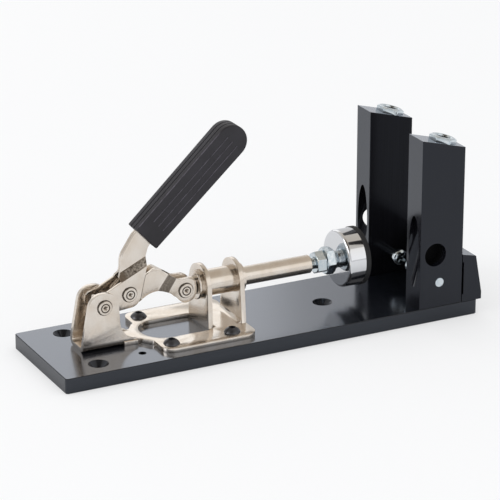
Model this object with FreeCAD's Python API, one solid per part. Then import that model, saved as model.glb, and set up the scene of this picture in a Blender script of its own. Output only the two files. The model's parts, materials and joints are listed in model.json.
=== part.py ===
import FreeCAD, Part
import math
import os
from FreeCAD import Vector, Placement, Rotation

# Pocket hole jig with a push-pull toggle clamp and two angled drill guides.
# Millimetres. X runs along the base from the clamp to the guides, Y across it, Z up.
# The origin is the middle of the underside of the base.

# Base plate
base_length = 290.0
base_width = 82.0
base_thickness = 10.0
base_corner_radius = 2.0
base_edge_chamfer = 0.4
bench_hole_diameter = 6.0
bench_sink_diameter = 13.0
bench_pair_inset = 27.5
bench_pair_spacing = 54.6
bench_single_x = 53.0

# Guide blocks and their drill guides
block_width = 18.0
block_depth = 31.4
block_front_height = 114.1
block_front_inset = 43.3
guide_angle = 15.0
near_block_outer_y = -base_width / 2
far_block_overhang = 3.3
bush_outer_diameter = 12.5
bush_bore_diameter = 9.5
bush_sleeve_length = 42.0
bush_hex_flats = 15.5
bush_hex_height = 3.5
bush_rim_chamfer = 0.8
bush_mouth_depth = 2.0
bore_exit_height = 47.4
chip_hole_diameter = 15.5
chip_hole_setback = 11.0
chip_hole_z = 46.1
block_edge_chamfer = 0.4

# Stop screws that set how close the guide blocks may come
stop_screw_diameter = 6.0
stop_screw_length = 33.0
stop_head_diameter = 10.5
stop_head_height = 3.9
stop_recess_width = 1.6
stop_recess_depth = 1.8
stop_screw_setback = 14.5
stop_screw_z = 26.7
guide_travel = 5.5

# Fence behind the guide blocks
fence_gap = 0.2
fence_top_depth = 9.9
fence_foot_depth = 14.6
fence_front_height = 32.7
fence_rear_height = 30.5
fence_step_height = 4.8
fence_relief_depth = 1.0
fence_relief_low = 5.3
fence_relief_high = 27.5
fence_bolt_z = 26.5
fence_wall = 6.6
slot_clearance = 0.4
recess_clearance = 0.6
guide_bolt_diameter = 6.0
guide_bolt_grip = 12.0
guide_bolt_head_diameter = 10.0
guide_bolt_head_height = 5.2
guide_bolt_key = 5.0
guide_bolt_key_depth = 3.0
washer_diameter = 12.0
washer_thickness = 1.2
washer_gap = 0.1
fence_screw_diameter = 5.0
fence_screw_head = 10.0
fence_screw_spacing = 24.0
fence_screw_depth = 9.0
fence_screw_key = 3.0

# Clamp bracket, one folded sheet
sheet = 3.0
flange_half_width = 34.0
flange_left_x = -74.5
flange_right_x = -10.2
flange_corner_radius = 8.0
flange_neck_half_width = 15.5
opening_left_x = -76.5
opening_half_width = 16.0
rear_ear_x = -36.0
rear_ear_half_width = 14.7
front_ear_half_width = 16.0
ear_top_radius = 13.5
channel_left_x = -120.0
channel_half_width = 10.15
channel_bend_radius = 5.0
channel_foot_x = -80.0
pivot_ear_radius = 9.2
mount_screw_pair_x = -66.5
mount_screw_pitch_x = 42.0
mount_screw_spacing_y = 49.0
mount_screw_diameter = 6.0
mount_head_diameter = 10.6
mount_head_height = 3.3
mount_key = 4.0
mount_key_depth = 2.0
mount_thread_depth = 8.0
spare_hole_setback = 20.0
spare_hole_diameter = 5.0

# Plunger and its guide tube
plunger_height = 38.3
rod_diameter = 12.0
rod_fit = 0.05
rod_front_x = 43.0
tube_diameter = 17.0
tube_rear_x = -38.9
tube_front_x = -6.7
tube_flare = 0.8
tube_flare_length = 1.6
tang_thickness = 8.0
tang_rear_reach = 6.0
tang_front_reach = 11.8

# Linkage, with the handle pivot, the middle pivot and the plunger pivot
crank_length = 19.0
crank_angle = 13.3
link_length = 39.0
plunger_pivot_x = -47.7
leaf_thickness = 2.0
side_gap = 0.25
rivet_diameter = 6.0
rivet_fit = 0.05
rivet_head_diameter = 9.4
rivet_head_height = 1.2
rivet_dimple_diameter = 4.6
rivet_dimple_depth = 0.6
eye_radius = 7.5
leaf_root_radius = 8.0
leaf_centre_gap = 0.2
leaf_joggle_rise = 4.0
link_joggle_run = 4.0

# Grip
grip_angle = 42.7
grip_length = 91.0
grip_root_width = 20.0
grip_tip_width = 22.0
grip_thickness = 13.0
grip_edge_radius = 2.2
grip_tang_length = 40.0
grip_tang_width = 13.0
grip_corner_share = 0.23
grip_rib_depth = 0.5
grip_rib_count = 3

# Foot on the front of the plunger
stud_diameter = 8.0
stud_fit = 0.05
stud_depth = 16.0
stud_room = 4.0
jam_nut_x = 46.2
jam_nut_flats = 13.0
jam_nut_height = 6.8
foot_hex_flats = 16.0
foot_hex_height = 6.0
foot_collar_diameter = 12.0
foot_collar_length = 4.0
cup_diameter = 37.6
cup_thickness = 12.0
cup_lip_radius = 1.8
pad_diameter = 38.4
pad_thickness = 3.5
pad_edge_radius = 0.8
nut_chamfer = 0.6

# Derived places
bench_pair_x = -base_length / 2 + bench_pair_inset
block_front_x = base_length / 2 - block_front_inset
chip_hole_x = block_front_x + chip_hole_setback
stop_screw_x = block_front_x + stop_screw_setback
top_z = base_thickness
plunger_z = plunger_height
crank_radians = math.radians(crank_angle)
link_radians = math.asin(crank_length * math.sin(crank_radians) / link_length)
crank_run = crank_length * math.cos(crank_radians)
crank_rise = crank_length * math.sin(crank_radians)
link_run = link_length * math.cos(link_radians)
middle_pivot_x = plunger_pivot_x - link_run
middle_pivot_z = plunger_z + crank_rise
handle_pivot_x = middle_pivot_x - crank_run
handle_pivot_z = plunger_z
guide_radians = math.radians(guide_angle)
leaf_outer = channel_half_width - sheet - side_gap
leaf_inner = leaf_outer - leaf_thickness
link_rear_outer = leaf_inner - side_gap
link_rear_inner = link_rear_outer - leaf_thickness
link_front_inner = tang_thickness / 2 + side_gap
link_front_outer = link_front_inner + leaf_thickness
fence_front_x = block_front_x + block_depth + fence_gap
near_block_y = near_block_outer_y + block_width / 2
far_block_y = base_width / 2 + far_block_overhang - block_width / 2

parts_folder = "parts"
os.makedirs(parts_folder, exist_ok=True)


def save(name, shape):
    solid = shape.removeSplitter()
    solid.exportStep(os.path.join(parts_folder, name + ".step"))
    kind = "valid" if solid.isValid() else "INVALID"
    print(name, kind, len(solid.Solids), "solid", round(solid.Volume, 1), "mm3")


def block(x0, x1, y0, y1, z0, z1):
    return Part.makeBox(x1 - x0, y1 - y0, z1 - z0, Vector(x0, y0, z0))


def rod_x(radius, x0, x1, y, z):
    return Part.makeCylinder(radius, x1 - x0, Vector(x0, y, z), Vector(1, 0, 0))


def rod_y(radius, x, y0, y1, z):
    return Part.makeCylinder(radius, y1 - y0, Vector(x, y0, z), Vector(0, 1, 0))


def rod_z(radius, x, y, z0, z1):
    return Part.makeCylinder(radius, z1 - z0, Vector(x, y, z0), Vector(0, 0, 1))


def rounded_wire(corners, place):
    """Closed outline of straight runs whose corners are tangent arcs. A corner is (a, b, radius)."""
    count = len(corners)
    entries = []
    for i in range(count):
        a0, b0, _ = corners[i - 1]
        a1, b1, radius = corners[i]
        a2, b2, _ = corners[(i + 1) % count]
        back = Vector(a0 - a1, b0 - b1, 0)
        ahead = Vector(a2 - a1, b2 - b1, 0)
        back.normalize()
        ahead.normalize()
        half = back.getAngle(ahead) / 2
        corner = Vector(a1, b1, 0)
        if radius <= 0 or abs(half - math.pi / 2) < 1e-6:
            entries.append((corner, None, corner))
            continue
        reach = radius / math.tan(half)
        middle = back + ahead
        middle.normalize()
        crown = corner + middle * (radius / math.sin(half) - radius)
        entries.append((corner + back * reach, crown, corner + ahead * reach))
    edges = []
    for i in range(count):
        start, crown, end = entries[i]
        if crown is not None:
            edges.append(Part.Arc(place(start), place(crown), place(end)).toShape())
        following = entries[(i + 1) % count][0]
        if (following - end).Length > 1e-6:
            edges.append(Part.LineSegment(place(end), place(following)).toShape())
    return Part.Wire(edges)


def plate_y(corners, y0, y1):
    wire = rounded_wire(corners, lambda p: Vector(p.x, y0, p.y))
    return Part.Face(wire).extrude(Vector(0, y1 - y0, 0))


def plate_z(corners, z0, z1):
    wire = rounded_wire(corners, lambda p: Vector(p.x, p.y, z0))
    return Part.Face(wire).extrude(Vector(0, 0, z1 - z0))


def plate_x(corners, x0, x1):
    wire = rounded_wire(corners, lambda p: Vector(x0, p.x, p.y))
    return Part.Face(wire).extrude(Vector(x1 - x0, 0, 0))


def hex_points(flats, spin):
    radius = flats / math.sqrt(3)
    return [(radius * math.cos(math.radians(60 * i + spin)), radius * math.sin(math.radians(60 * i + spin)), 0)
            for i in range(6)]


def hexagon(flats, height, spin=0):
    """Hexagonal prism standing on the XY plane at the origin."""
    return plate_z(hex_points(flats, spin), 0, height)


def chamfered_hexagon(flats, height, spin=0):
    """Hexagonal prism with its corners turned off at both ends, as on a nut."""
    rim = flats / math.sqrt(3)
    low = Part.makeCone(rim - nut_chamfer * 2, rim, nut_chamfer)
    middle = Part.makeCylinder(rim, height - 2 * nut_chamfer, Vector(0, 0, nut_chamfer))
    high = Part.makeCone(rim, rim - nut_chamfer * 2, nut_chamfer, Vector(0, 0, height - nut_chamfer))
    return hexagon(flats, height, spin).common(low.fuse(middle).fuse(high))


def along(shape, base, axis):
    """Turn a shape that was built along Z so that it runs along axis from base."""
    moved = shape.copy()
    moved.Placement = Placement(base, Rotation(Vector(0, 0, 1), axis))
    return moved


def mirrored(shape):
    return shape.mirror(Vector(0, 0, 0), Vector(0, 1, 0))


# Base plate with three countersunk bench holes and two spare holes for the clamp further back
def make_base():
    plate = block(-base_length / 2, base_length / 2, -base_width / 2, base_width / 2, 0, base_thickness)
    upright = [e for e in plate.Edges if abs(e.tangentAt(e.FirstParameter).z) > 0.9]
    plate = plate.makeFillet(base_corner_radius, upright)
    rims = [f for f in plate.Faces if abs(f.normalAt(0, 0).z) > 0.9]
    plate = plate.makeChamfer(base_edge_chamfer, [e for f in rims for e in f.Edges])
    sink = (bench_sink_diameter - bench_hole_diameter) / 2
    places = [(bench_pair_x, -bench_pair_spacing / 2), (bench_pair_x, bench_pair_spacing / 2), (bench_single_x, 0)]
    for x, y in places:
        plate = plate.cut(rod_z(bench_hole_diameter / 2, x, y, -1, base_thickness + 1))
        cone = Part.makeCone(bench_hole_diameter / 2, bench_sink_diameter / 2, sink, Vector(x, y, top_z - sink))
        plate = plate.cut(cone)
    for x, y in mount_screw_places():
        plate = plate.cut(rod_z(mount_screw_diameter / 2, x, y, top_z - mount_thread_depth, top_z + 1))
    for y in (-mount_screw_spacing_y / 2, mount_screw_spacing_y / 2):
        x = mount_screw_pair_x - spare_hole_setback
        plate = plate.cut(rod_z(spare_hole_diameter / 2, x, y, -1, top_z + 1))
    head = (fence_screw_head - fence_screw_diameter) / 2
    for x, y in fence_screw_places():
        plate = plate.cut(rod_z(fence_screw_diameter / 2, x, y, -1, top_z + 1))
        cone = Part.makeCone(fence_screw_head / 2, fence_screw_diameter / 2, head, Vector(x, y, 0))
        plate = plate.cut(cone)
    return plate


def mount_screw_places():
    rows = [-mount_screw_spacing_y / 2, mount_screw_spacing_y / 2]
    columns = [mount_screw_pair_x, mount_screw_pair_x + mount_screw_pitch_x]
    return [(x, y) for x in columns for y in rows]


def fence_screw_places():
    x = fence_front_x + fence_foot_depth * 0.45
    return [(x, -fence_screw_spacing / 2), (x, fence_screw_spacing / 2)]


# Drill guide axis, tilted so that it leaves the front face low down
guide_axis = Vector(math.sin(guide_radians), 0, math.cos(guide_radians))
block_slope = math.tan(guide_radians)
block_front_top = top_z + block_front_height
guide_top_reach = (block_front_top - bore_exit_height) * math.cos(guide_radians)


def guide_point(y, distance):
    """Point on a drill guide axis, measured up from where it crosses the front face."""
    return Vector(block_front_x, y, bore_exit_height) + guide_axis * distance


def make_guide_block(y, outer_y):
    """Block on the plane y. Its chip hole runs from the outer face at outer_y into the drill bore."""
    half = block_width / 2
    rear_x = block_front_x + block_depth
    rear_top = block_front_top - block_depth * block_slope
    profile = [(block_front_x, top_z, 0), (rear_x, top_z, 0), (rear_x, rear_top, 0),
               (block_front_x, block_front_top, 0)]
    body = plate_y(profile, y - half, y + half)
    sides = [f for f in body.Faces if abs(f.normalAt(0, 0).y) > 0.9]
    body = body.makeChamfer(block_edge_chamfer, [e for f in sides for e in f.Edges])
    bore_length = guide_top_reach + bush_outer_diameter * 6
    bore = Part.makeCylinder(bush_outer_diameter / 2, bore_length)
    body = body.cut(along(bore, guide_point(y, -bush_outer_diameter * 3), guide_axis))
    chip_ends = sorted((y, y + (outer_y - y) * 1.1))
    body = body.cut(rod_y(chip_hole_diameter / 2, chip_hole_x, chip_ends[0], chip_ends[1], chip_hole_z))
    body = body.cut(rod_y(stop_screw_diameter / 2, stop_screw_x, y - half - 1, y + half + 1, stop_screw_z))
    hole = rod_x(guide_bolt_diameter / 2, rear_x - guide_bolt_grip, rear_x + 1, y, fence_bolt_z)
    return body.cut(hole)


def make_drill_bush(y):
    sleeve = Part.makeCylinder(bush_outer_diameter / 2, bush_sleeve_length, Vector(0, 0, -bush_sleeve_length))
    rim = bush_hex_flats / math.sqrt(3)
    plain = Part.makeCylinder(rim, bush_hex_height - bush_rim_chamfer)
    turned = Part.makeCone(rim, rim - 2 * bush_rim_chamfer, bush_rim_chamfer,
                           Vector(0, 0, bush_hex_height - bush_rim_chamfer))
    head = hexagon(bush_hex_flats, bush_hex_height, 30).common(plain.fuse(turned))
    bore = Part.makeCylinder(bush_bore_diameter / 2, bush_sleeve_length + bush_hex_height + 2,
                             Vector(0, 0, -bush_sleeve_length - 1))
    mouth = Part.makeCone(bush_bore_diameter / 2, bush_bore_diameter / 2 + bush_rim_chamfer, bush_mouth_depth,
                          Vector(0, 0, bush_hex_height - bush_mouth_depth))
    shape = head.fuse(sleeve).cut(bore).cut(mouth)
    return along(shape, guide_point(y, guide_top_reach), guide_axis)


# Cross-head screw, threaded through its block from the inner side until its end is flush outside
def make_stop_screw(outer_y, inward):
    shank = Part.makeCylinder(stop_screw_diameter / 2, stop_screw_length)
    dome = Part.makeCylinder(stop_head_diameter / 2, stop_head_height, Vector(0, 0, stop_screw_length))
    crown = [e for e in dome.Edges if e.BoundBox.ZMin > stop_screw_length + stop_head_height / 2]
    dome = dome.makeFillet(stop_head_height * 0.6, crown)
    shape = shank.fuse(dome)
    top = stop_screw_length + stop_head_height
    reach = stop_head_diameter * 0.32
    for turn in (0, 90):
        slot = block(-reach, reach, -stop_recess_width / 2, stop_recess_width / 2, top - stop_recess_depth, top + 1)
        slot.rotate(Vector(0, 0, 0), Vector(0, 0, 1), turn + 45)
        shape = shape.cut(slot)
    return along(shape, Vector(stop_screw_x, outer_y, stop_screw_z), Vector(0, inward, 0))


# Fence, an extrusion with a relieved front face and a raked back
fence_recess_x = fence_front_x + fence_wall


def make_fence():
    foot_z = top_z
    front = fence_front_x
    relief = front + fence_relief_depth
    profile = [(front, foot_z, 0), (front + fence_foot_depth, foot_z, 0),
               (front + fence_foot_depth, foot_z + fence_step_height, 0),
               (front + fence_top_depth, foot_z + fence_rear_height, 1.0),
               (front, foot_z + fence_front_height, 0.5), (front, foot_z + fence_relief_high, 0),
               (relief, foot_z + fence_relief_high, 0), (relief, foot_z + fence_relief_low, 0),
               (front, foot_z + fence_relief_low, 0)]
    fence = plate_y(profile, -base_width / 2, base_width / 2)
    far_bolt_y = far_block_y - guide_travel
    for y0, y1 in ((near_block_y, near_block_y + guide_travel), (far_bolt_y, far_block_y)):
        fence = fence.cut(long_slot((guide_bolt_diameter + slot_clearance) / 2, front - 1, front + 40, y0, y1))
        fence = fence.cut(long_slot(washer_diameter / 2 + recess_clearance, fence_recess_x, front + 40, y0, y1))
    for x, y in fence_screw_places():
        fence = fence.cut(rod_z(fence_screw_diameter / 2, x, y, foot_z - 1, foot_z + fence_screw_depth))
    return fence


def long_slot(radius, x0, x1, y0, y1):
    """Obround cutter along X, as long in Y as the guide bolts travel."""
    ends = rod_x(radius, x0, x1, y0, fence_bolt_z).fuse(rod_x(radius, x0, x1, y1, fence_bolt_z))
    return ends.fuse(block(x0, x1, y0, y1, fence_bolt_z - radius, fence_bolt_z + radius))


def make_guide_bolt(y):
    seat = fence_recess_x + washer_gap + washer_thickness
    start = fence_front_x - fence_gap - guide_bolt_grip
    bolt = rod_x(guide_bolt_diameter / 2, start, seat, y, fence_bolt_z)
    bolt = bolt.fuse(rod_x(guide_bolt_head_diameter / 2, seat, seat + guide_bolt_head_height, y, fence_bolt_z))
    key = along(hexagon(guide_bolt_key, guide_bolt_key_depth + 1),
                Vector(seat + guide_bolt_head_height - guide_bolt_key_depth, y, fence_bolt_z), Vector(1, 0, 0))
    return bolt.cut(key)


def make_guide_washer(y):
    x0 = fence_recess_x + washer_gap
    ring = rod_x(washer_diameter / 2, x0, x0 + washer_thickness, y, fence_bolt_z)
    return ring.cut(rod_x(guide_bolt_diameter / 2, x0 - 1, x0 + washer_thickness + 1, y, fence_bolt_z))


def make_fence_screws():
    screws = []
    head = (fence_screw_head - fence_screw_diameter) / 2
    for x, y in fence_screw_places():
        cone = Part.makeCone(fence_screw_head / 2, fence_screw_diameter / 2, head, Vector(x, y, 0))
        shank = rod_z(fence_screw_diameter / 2, x, y, head, top_z + fence_screw_depth)
        key = hexagon(fence_screw_key, head)
        key.translate(Vector(x, y, -head * 0.2))
        screws.append(cone.fuse(shank).cut(key))
    return screws[0].fuse(screws[1:])


# Bracket: flange on the base, a channel for the handle and two ears for the guide tube
def ear(half_width, x):
    top = plunger_z + ear_top_radius
    lean = plunger_z
    foot = Vector(x, -half_width, top_z)
    knee = Vector(x, -ear_top_radius, lean)
    crown = Vector(x, 0, top)
    edges = [Part.LineSegment(foot, knee).toShape(),
             Part.Arc(knee, crown, Vector(x, ear_top_radius, lean)).toShape(),
             Part.LineSegment(Vector(x, ear_top_radius, lean), Vector(x, half_width, top_z)).toShape(),
             Part.LineSegment(Vector(x, half_width, top_z), foot).toShape()]
    return Part.Face(Part.Wire(edges)).extrude(Vector(sheet, 0, 0))


def bend_fillet(half_width, x, side):
    """Inner radius of a fold between the flange and an ear."""
    z = top_z + sheet
    square = block(min(x, x + side * sheet), max(x, x + side * sheet), -half_width, half_width, z, z + sheet)
    return square.cut(rod_y(sheet, x + side * sheet, -half_width - 1, half_width + 1, z + sheet))


def make_bracket():
    wide = flange_half_width
    neck = flange_neck_half_width
    turn = flange_corner_radius
    slim = channel_half_width
    low = [(flange_right_x, -wide, turn), (flange_left_x, -wide, turn), (flange_left_x, -neck, 3.0),
           (flange_left_x - neck + slim - 5.0, -slim, 4.0), (channel_foot_x - 12.0, -slim, 0)]
    high = [(x, -y, r) for x, y, r in reversed(low)]
    flange = plate_z(low + high, top_z, top_z + sheet)
    round_end = opening_half_width
    hole = [(opening_left_x, -opening_half_width, round_end - 0.5), (rear_ear_x, -opening_half_width, 0),
            (rear_ear_x, opening_half_width, 0), (opening_left_x, opening_half_width, round_end - 0.5)]
    opening = plate_z(hole, top_z - 1, top_z + sheet + 1)
    inner = channel_bend_radius - sheet
    tall = plunger_z + pivot_ear_radius + 5.0
    outer_u = [(-slim, top_z, channel_bend_radius), (slim, top_z, channel_bend_radius), (slim, tall, 0),
               (-slim, tall, 0)]
    inner_u = [(-slim + sheet, top_z + sheet, inner), (slim - sheet, top_z + sheet, inner),
               (slim - sheet, tall + 1, 0), (-slim + sheet, tall + 1, 0)]
    channel = plate_x(outer_u, channel_left_x, channel_foot_x + 2.0)
    channel = channel.cut(plate_x(inner_u, channel_left_x - 1, channel_foot_x + 3.0))
    left_top = handle_pivot_x - pivot_ear_radius
    right_top = handle_pivot_x + pivot_ear_radius
    ear_top = plunger_z + pivot_ear_radius
    side = [(channel_left_x, top_z - 1, 0), (channel_left_x, top_z + 6.0, 0), (left_top, ear_top, pivot_ear_radius),
            (right_top, ear_top, pivot_ear_radius), (right_top + 1.5, top_z + sheet, 15.0),
            (channel_foot_x + 2.0, top_z + sheet, 0), (channel_foot_x + 2.0, top_z - 1, 0)]
    channel = channel.common(plate_y(side, -slim - 1, slim + 1))
    shape = flange.fuse(channel).cut(opening)
    front_ear_x = flange_right_x - sheet
    shape = shape.fuse(ear(rear_ear_half_width, rear_ear_x)).fuse(ear(front_ear_half_width, front_ear_x))
    shape = shape.fuse(bend_fillet(rear_ear_half_width - 1.5, rear_ear_x + sheet, 1))
    shape = shape.fuse(bend_fillet(front_ear_half_width - 1.5, front_ear_x, -1))
    shape = shape.cut(rod_x(tube_diameter / 2, rear_ear_x - 1, flange_right_x + 1, 0, plunger_z))
    for x, y in mount_screw_places():
        shape = shape.cut(rod_z(mount_screw_diameter / 2, x, y, top_z - 1, top_z + sheet + 1))
    reach = channel_half_width + 1
    return shape.cut(rod_y(rivet_diameter / 2, handle_pivot_x, -reach, reach, handle_pivot_z))


def make_mount_screws():
    screws = []
    for x, y in mount_screw_places():
        z = top_z + sheet
        shank = rod_z(mount_screw_diameter / 2, x, y, top_z - mount_thread_depth, z)
        ball = (mount_head_diameter ** 2 / 4 + mount_head_height ** 2) / (2 * mount_head_height)
        dome = Part.makeSphere(ball, Vector(x, y, z + mount_head_height - ball))
        dome = dome.common(rod_z(mount_head_diameter / 2, x, y, z, z + mount_head_height))
        key = hexagon(mount_key, mount_key_depth + 1)
        key.translate(Vector(x, y, z + mount_head_height - mount_key_depth))
        screws.append(dome.fuse(shank).cut(key))
    return screws[0].fuse(screws[1:])


# Guide tube, pressed into both ears, with a rolled mouth at the back
def make_tube():
    outer = rod_x(tube_diameter / 2, tube_rear_x, tube_front_x, 0, plunger_z)
    mouth = rod_x(tube_diameter / 2 + tube_flare, tube_rear_x, tube_rear_x + tube_flare_length, 0, plunger_z)
    collar = rod_x(tube_diameter / 2 + tube_flare, flange_right_x, tube_front_x, 0, plunger_z)
    rims = [e for e in mouth.Edges if e.BoundBox.XLength < 1e-6]
    mouth = mouth.makeFillet(tube_flare * 0.7, rims)
    shape = outer.fuse(mouth).fuse(collar)
    return shape.cut(rod_x(rod_diameter / 2 + rod_fit, tube_rear_x - 1, tube_front_x + 1, 0, plunger_z))


def make_rod():
    rear = plunger_pivot_x - tang_rear_reach
    rod = rod_x(rod_diameter / 2, rear, rod_front_x, 0, plunger_z)
    front_rim = [e for e in rod.Edges if e.BoundBox.XMin > rod_front_x - 1e-3]
    rod = rod.makeChamfer(0.8, front_rim)
    half = tang_thickness / 2
    shoulder = plunger_pivot_x + tang_front_reach
    for side in (-1, 1):
        y0 = min(side * half, side * rod_diameter)
        rod = rod.cut(block(rear - 1, shoulder, y0, y0 + rod_diameter - half, 0, plunger_z * 2))
    rounding = block(rear - 1, plunger_pivot_x, -half, half, 0, plunger_z * 2)
    rounding = rounding.cut(rod_y(tang_rear_reach, plunger_pivot_x, -half, half, plunger_z))
    rod = rod.cut(rounding)
    hole = rod_x(stud_diameter / 2 + stud_fit, rod_front_x - stud_depth - stud_room, rod_front_x + 1, 0, plunger_z)
    return rod.cut(hole)


# Folded plates: a strip bent along a line, cut to the outline of the part
def folded_strip(direction, fold, run, before, after, thickness):
    """Strip in the XZ plane that steps sideways in Y where it crosses the fold line.

    direction points across the fold, fold is a point on the line where the step starts,
    before and after are the inner faces on each side of it.
    """
    far = 200.0
    normal = Vector(math.cos(direction), 0, math.sin(direction))
    tangent = Vector(-math.sin(direction), 0, math.cos(direction))
    section = [(-far, before), (0, before), (run, after), (far, after), (far, after + thickness),
               (run, after + thickness), (0, before + thickness), (-far, before + thickness)]
    corners = [Vector(fold[0], 0, fold[1]) + normal * n + Vector(0, y, 0) - tangent * far for n, y in section]
    face = Part.Face(Part.makePolygon(corners + [corners[0]]))
    return face.extrude(tangent * (2 * far))


grip_radians = math.radians(grip_angle)
grip_root_x = handle_pivot_x + 30.6
grip_root_z = handle_pivot_z + 38.4


def grip_point(distance, offset):
    """Point in the XZ plane along the grip axis, offset to its left."""
    x = grip_root_x + distance * math.cos(grip_radians) - offset * math.sin(grip_radians)
    z = grip_root_z + distance * math.sin(grip_radians) + offset * math.cos(grip_radians)
    return x, z


def make_leaf():
    """Handle leaf on the +Y side."""
    px = handle_pivot_x
    pz = handle_pivot_z
    root = leaf_root_radius
    crank = crank_length
    tang = grip_tang_width
    left_end = grip_point(grip_tang_length, tang / 2)
    right_end = grip_point(grip_tang_length, -tang / 2)
    left_root = grip_point(-grip_corner_share * tang, tang / 2)
    right_root = grip_point(-0.15 * tang, -tang / 2)
    corners = [(px - root, pz - 0.7 * root, 0.875 * root),
               (px + 0.579 * crank, pz - 0.274 * crank, 0.632 * crank),
               (px + 1.295 * crank, pz - 0.21 * crank, 0.368 * crank),
               (px + 1.453 * crank, pz + 0.474 * crank, 2.105 * crank),
               (px + 1.663 * crank, pz + 1.368 * crank, 1.053 * crank),
               (right_root[0], right_root[1], 0.61 * tang),
               (right_end[0], right_end[1], grip_corner_share * tang),
               (left_end[0], left_end[1], grip_corner_share * tang),
               (left_root[0], left_root[1], 0.77 * tang),
               (px + 0.8 * crank, pz + 1.474 * crank, 0.632 * crank),
               (px + 0.789 * crank, pz + 0.789 * crank, 0.526 * crank),
               (px - 0.75 * root, pz + 0.962 * root, 0.8 * root)]
    outline = plate_y(corners, -1, channel_half_width)
    band = math.radians(115.0)
    fold = (px + 0.816 * crank, pz + 0.747 * crank)
    strip = folded_strip(band, fold, leaf_joggle_rise, leaf_inner, leaf_centre_gap, leaf_thickness)
    leaf = strip.common(outline)
    for x, z in ((px, pz), (middle_pivot_x, middle_pivot_z)):
        radius = rivet_diameter / 2 + (rivet_fit if x == px else 0)
        leaf = leaf.cut(rod_y(radius, x, -1, channel_half_width, z))
    return leaf


def make_link_plate():
    """Link plate on the +Y side, arched over the handle pivot when the clamp is open."""
    bx = middle_pivot_x
    bz = middle_pivot_z
    cx = plunger_pivot_x
    cz = plunger_z
    eye = eye_radius
    span = link_length
    arch = [(bx - eye, bz - eye, 0.93 * eye),
            (bx + 0.195 * span, bz - 0.973 * eye, 0.18 * span),
            (bx + 0.449 * span, bz + 0.041 * span, 0.41 * span),
            (cx - 0.205 * span, cz - 0.046 * span, 0.256 * span),
            (cx - 0.051 * span, cz - 1.133 * eye, 0.733 * eye),
            (cx + eye, cz - eye, 0.93 * eye),
            (cx + eye, cz + eye, 0.93 * eye),
            (cx - 0.128 * span, cz + 1.053 * eye, 0.8 * eye),
            (bx + 0.482 * span, bz + 0.356 * span, 0.103 * span),
            (bx + 0.323 * span, bz + 0.262 * span, 0.077 * span),
            (bx - 0.051 * span, bz + eye, 0.8 * eye),
            (bx - eye, bz + 0.267 * eye, 0.667 * eye)]
    outline = plate_y(arch, 0, channel_half_width)
    direction = math.radians(-22.0)
    fold = (cx - 0.41 * span, cz + 0.1925 * span)
    strip = folded_strip(direction, fold, link_joggle_run, link_rear_inner, link_front_inner, leaf_thickness)
    plate = strip.common(outline)
    plate = plate.cut(rod_y(rivet_diameter / 2 + rivet_fit, bx, -1, channel_half_width, bz))
    return plate.cut(rod_y(rivet_diameter / 2, cx, -1, channel_half_width, cz))


def rivet_head(x, z, face):
    """Formed head with a ring round a shallow dimple, standing on the plane y = face, on the +Y side."""
    head = rod_y(rivet_head_diameter / 2, x, face, face + rivet_head_height, z)
    rim = [e for e in head.Edges if e.BoundBox.YMin > face + rivet_head_height / 2]
    head = head.makeFillet(rivet_head_height * 0.45, rim)
    top = face + rivet_head_height
    return head.cut(rod_y(rivet_dimple_diameter / 2, x, top - rivet_dimple_depth, top + 1, z))


def make_rivet(x, z, face):
    head = rivet_head(x, z, face)
    return head.fuse(mirrored(head)).fuse(rod_y(rivet_diameter / 2, x, -face, face, z))


def make_open_rivet(x, z, inner, outer):
    """Rivet through one link plate only, so that the plunger tang stays free between the two."""
    head = rivet_head(x, z, outer)
    return head.fuse(rod_y(rivet_diameter / 2, x, inner, outer, z))


def make_grip():
    root = grip_root_width / 2
    tip = grip_tip_width / 2
    corners = [(0, -root, 1.5), (grip_length, -tip, tip - 0.6), (grip_length, tip, tip - 0.6), (0, root, 1.5)]
    half = grip_thickness / 2

    def place(p):
        x, z = grip_point(p.x, p.y)
        return Vector(x, -half, z)

    body = Part.Face(rounded_wire(corners, place)).extrude(Vector(0, grip_thickness, 0))
    sides = [f for f in body.Faces if abs(f.normalAt(0, 0).y) > 0.9]
    body = body.makeFillet(grip_edge_radius, [e for f in sides for e in f.Edges])
    tang = grip_tang_width / 2
    end = grip_tang_length
    slot = leaf_centre_gap + leaf_thickness
    corner = grip_corner_share * grip_tang_width
    pocket = [(-end / 2, -tang, 0), (end, -tang, corner), (end, tang, corner), (-end / 2, tang, 0)]

    def pocket_place(p):
        x, z = grip_point(p.x, p.y)
        return Vector(x, -slot, z)

    body = body.cut(Part.Face(rounded_wire(pocket, pocket_place)).extrude(Vector(0, 2 * slot, 0)))
    for i in range(grip_rib_count):
        across = (i - (grip_rib_count - 1) / 2) * root * 0.42
        for side in (-1, 1):
            body = body.cut(grip_groove(across, side * half))
    return body


def grip_groove(across, face):
    """Fine lengthwise groove in a flat side of the grip."""
    start = grip_point(grip_length * 0.12, across)
    end = grip_point(grip_length * 0.86, across)
    run = Vector(end[0] - start[0], 0, end[1] - start[1])
    return Part.makeCylinder(grip_rib_depth, run.Length, Vector(start[0], face, start[1]), run)


# Foot: stud, jam nut, hexagon, cup and rubber pad, all turned on the plunger axis
foot_hex_x = jam_nut_x + jam_nut_height
cup_x = foot_hex_x + foot_hex_height + foot_collar_length
pad_x = cup_x + cup_thickness


def make_jam_nut():
    nut = chamfered_hexagon(jam_nut_flats, jam_nut_height)
    nut = nut.cut(Part.makeCylinder(stud_diameter / 2, jam_nut_height + 2, Vector(0, 0, -1)))
    return along(nut, Vector(jam_nut_x, 0, plunger_z), Vector(1, 0, 0))


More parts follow.
